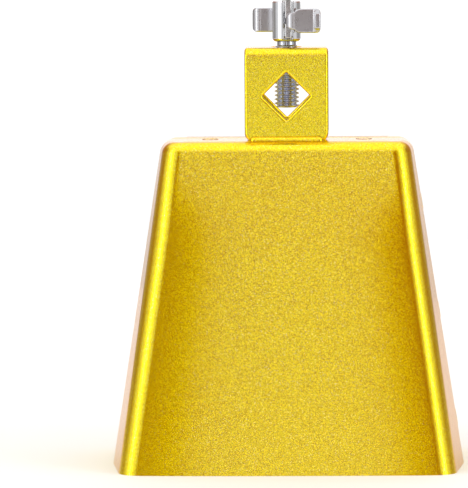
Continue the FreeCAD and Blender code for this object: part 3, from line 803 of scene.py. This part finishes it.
def add_wing(shape, turn):
    """One wing, turned about the screw's axis, with both ends drawn in to a rounded edge."""
    spin = Matrix.Rotation(turn, 3, "Z")
    middle_height = WING_LOW + WING_HALF_HEIGHT
    rings = []
    stations = wing_line()
    order = [(0, -1, inset) for inset in END_INSETS]
    order += [(k, 0, 0.0) for k in range(len(stations))]
    order += [(len(stations) - 1, 1, inset) for inset in reversed(END_INSETS)]
    for k, way, inset in order:
        place, heading, half_height = stations[k]
        forward = Vector((math.sin(heading), -math.cos(heading), 0))
        side = Vector((math.cos(heading), math.sin(heading), 0))
        push = way * SECTION_ROUND * inset
        squeeze = SECTION_ROUND * (1 - math.sqrt(1 - inset ** 2)) if way else 0.0
        ring = []
        for across, up in section(half_height):
            across -= math.copysign(min(abs(across), squeeze), across)
            up -= math.copysign(min(abs(up), squeeze), up)
            point = place + forward * push + side * across + Vector((0, 0, middle_height + up))
            ring.append(shape.verts.new(spin @ point))
        rings.append(ring)
    for one, other in zip(rings, rings[1:]):
        for k in range(len(one)):
            following = (k + 1) % len(one)
            shape.faces.new((one[k], one[following], other[following], other[k]))
    shape.faces.new(rings[0])
    shape.faces.new(list(reversed(rings[-1])))


print("points in a cross section", len(section(WING_HALF_HEIGHT)))

# %% [markdown]
# Both wings are one piece of plate on the real screw, so they become one mesh, with a satin finish because
# the plate is stamped and tumbled.

# %% Both wings
wings = bmesh.new()
add_wing(wings, HEAD_TURN)
add_wing(wings, HEAD_TURN + math.pi)
bmesh.ops.recalc_face_normals(wings, faces=wings.faces[:])
wing_mesh = bpy.data.meshes.new("wings")
wings.to_mesh(wing_mesh)
wings.free()
wing_piece = object_from("wings", wing_mesh)
add_modifier(wing_piece, "WEIGHTED_NORMAL", keep_sharp=True)
finish_piece(wing_piece, "head", "bright_plate", satin_nickel, "wing_plate")

# %% [markdown]
# The tab that stands in the slot is a plain block, so a cube is stretched and its edges are bevelled. Its top
# is sawn before it is plated, so it is rough and glitters.

# %% Tab in the slot
TAB_HALF = Vector((1.0, 4.3, 0)) * MM
TAB_ROUND = 0.35 * MM
SLOT_FLOOR = 133.2 * MM
tab = bmesh.new()
bmesh.ops.create_cube(tab, size=1.0)
bmesh.ops.scale(tab, verts=tab.verts[:], vec=(2 * TAB_HALF.x, 2 * TAB_HALF.y, tab_high.z - SLOT_FLOOR))
bmesh.ops.translate(tab, verts=tab.verts[:], vec=(0, 0, (tab_high.z + SLOT_FLOOR) / 2))
bmesh.ops.rotate(tab, verts=tab.verts[:], cent=(0, 0, 0), matrix=Matrix.Rotation(HEAD_TURN, 3, "Z"))
bmesh.ops.bevel(tab, geom=tab.edges[:], offset=TAB_ROUND, segments=3, affect="EDGES", profile=0.5)
tab_mesh = bpy.data.meshes.new("slot_tab")
tab.to_mesh(tab_mesh)
tab.free()
tab_piece = object_from("slot_tab", tab_mesh)
add_modifier(tab_piece, "WEIGHTED_NORMAL", keep_sharp=True)
finish_piece(tab_piece, "head", "bright_plate", sawn_nickel)

# %% [markdown]
# ## The thread
#
# A thread is a wave that climbs by one pitch in each turn. The Screw modifier could wind one tooth round the
# axis, but its ends would stick out of the rod. Geometry Nodes start from a flat grid instead and roll it up:
# across the grid is the angle, and along it is the height before the climb is added. So grid lines run
# exactly along the crests and roots. A limit on the radius makes the chamfered end and the plain neck. The
# rows that would stick out past either end are held at that end, and the tooth is worked out again from the
# height they are held at, so those rows fall together and merge instead of leaving gaps.

# %% Thread with Geometry Nodes
PITCH = 1.25 * MM
THREAD_DEPTH = 0.92 * MM
END_CHAMFER, PLAIN_NECK = 0.8 * MM, 0.9 * MM
# share of a pitch, and share of the depth there
TOOTH_OUTLINE = ((0.10, 0.03), (0.44, 1.0), (0.56, 1.0), (0.90, 0.03))
ROWS_IN_PITCH = 12
TURN_STEPS = 72
THREAD_WELD = 0.001 * MM


def make_thread_tree():
    tree, given = new_tree("rolled_thread", Bottom="NodeSocketFloat", Top="NodeSocketFloat",
                           Radius="NodeSocketFloat", Depth="NodeSocketFloat", Pitch="NodeSocketFloat",
                           Chamfer="NodeSocketFloat", Neck="NodeSocketFloat", Turns="NodeSocketInt")
    rows = add_node(tree, "ShaderNodeMath", {0: given["Turns"], 1: float(ROWS_IN_PITCH), 2: 1.0},
                    operation="MULTIPLY_ADD").outputs[0]
    grid = add_node(tree, "GeometryNodeMeshGrid", {"Size X": 1.0, "Size Y": 1.0, "Vertices X": rows,
                                                   "Vertices Y": TURN_STEPS + 1})
    flat = add_node(tree, "ShaderNodeSeparateXYZ", {0: grid.outputs["UV Map"]}).outputs
    along = add_node(tree, "ShaderNodeMath", {0: flat["X"], 1: given["Turns"]},
                     operation="MULTIPLY").outputs[0]
    climbed = add_node(tree, "ShaderNodeMath", {0: along, 1: flat["Y"]}, operation="ADD").outputs[0]
    start = add_node(tree, "ShaderNodeMath", {0: given["Bottom"], 1: given["Pitch"]},
                     operation="SUBTRACT").outputs[0]
    free = add_node(tree, "ShaderNodeMath", {0: climbed, 1: given["Pitch"], 2: start},
                    operation="MULTIPLY_ADD").outputs[0]
    height = add_node(tree, "ShaderNodeClamp", {"Value": free, "Min": given["Bottom"],
                                                "Max": given["Top"]}).outputs[0]
    settled = add_node(tree, "ShaderNodeMath", {0: height, 1: start}, operation="SUBTRACT").outputs[0]
    pitches = add_node(tree, "ShaderNodeMath", {0: settled, 1: given["Pitch"]}, operation="DIVIDE").outputs[0]
    unrolled = add_node(tree, "ShaderNodeMath", {0: pitches, 1: flat["Y"]}, operation="SUBTRACT").outputs[0]
    tooth = add_node(tree, "ShaderNodeMath", {0: unrolled, 1: 1.0, 2: 0.0}, operation="WRAP").outputs[0]
    profile = add_node(tree, "ShaderNodeFloatCurve", {"Value": tooth})
    wave = profile.mapping.curves[0]
    wave.points[0].location, wave.points[1].location = (0.0, 0.0), (1.0, 0.0)
    for place in TOOTH_OUTLINE:
        wave.points.new(*place)
    for point in wave.points:
        point.handle_type = "VECTOR"
    profile.mapping.update()
    core = add_node(tree, "ShaderNodeMath", {0: given["Radius"], 1: given["Depth"]},
                    operation="SUBTRACT").outputs[0]
    toothed = add_node(tree, "ShaderNodeMath", {0: profile.outputs[0], 1: given["Depth"], 2: core},
                       operation="MULTIPLY_ADD").outputs[0]
    chamfer_top = add_node(tree, "ShaderNodeMath", {0: given["Bottom"], 1: given["Chamfer"]},
                           operation="ADD").outputs[0]
    tip = add_node(tree, "ShaderNodeMath", {0: given["Radius"], 1: given["Chamfer"]},
                   operation="SUBTRACT").outputs[0]
    chamfered = add_node(tree, "ShaderNodeMapRange", {"Value": height, "From Min": given["Bottom"],
                                                      "From Max": chamfer_top, "To Min": tip,
                                                      "To Max": given["Radius"]}).outputs["Result"]
    neck_start = add_node(tree, "ShaderNodeMath", {0: given["Top"], 1: given["Neck"]},
                          operation="SUBTRACT").outputs[0]
    neck_end = add_node(tree, "ShaderNodeMath", {0: neck_start, 1: given["Depth"]},
                        operation="SUBTRACT").outputs[0]
    necked = add_node(tree, "ShaderNodeMapRange", {"Value": height, "From Min": neck_end,
                                                   "From Max": neck_start, "To Min": given["Radius"],
                                                   "To Max": core}).outputs["Result"]
    limit = add_node(tree, "ShaderNodeMath", {0: chamfered, 1: necked}, operation="MINIMUM").outputs[0]
    radius = add_node(tree, "ShaderNodeMath", {0: limit, 1: toothed}, operation="MINIMUM").outputs[0]
    end_tree(tree, roll_up(tree, grid.outputs["Mesh"], flat["Y"], radius, height, THREAD_WELD),
             given["Material"])
    return tree


thread_tree = make_thread_tree()
print("nodes in the thread tree", len(thread_tree.nodes))

# %% [markdown]
# The rod rides with the head, because a real wing screw turns as one piece. One turn more than its length
# needs fills the slanting gaps at both ends.

# %% Threaded rod
shank_low, shank_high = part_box("threaded_shank")
thread_turns = math.ceil((shank_high.z - shank_low.z) / PITCH) + 1
thread = grow("threaded_rod", thread_tree, Bottom=shank_low.z, Top=shank_high.z, Radius=shank_high.x,
              Depth=THREAD_DEPTH, Pitch=PITCH, Chamfer=END_CHAMFER, Neck=PLAIN_NECK, Turns=thread_turns,
              Material=zinc)
finish_piece(outward_mesh(thread), "head", "zinc_steel", zinc, "threaded_shank")
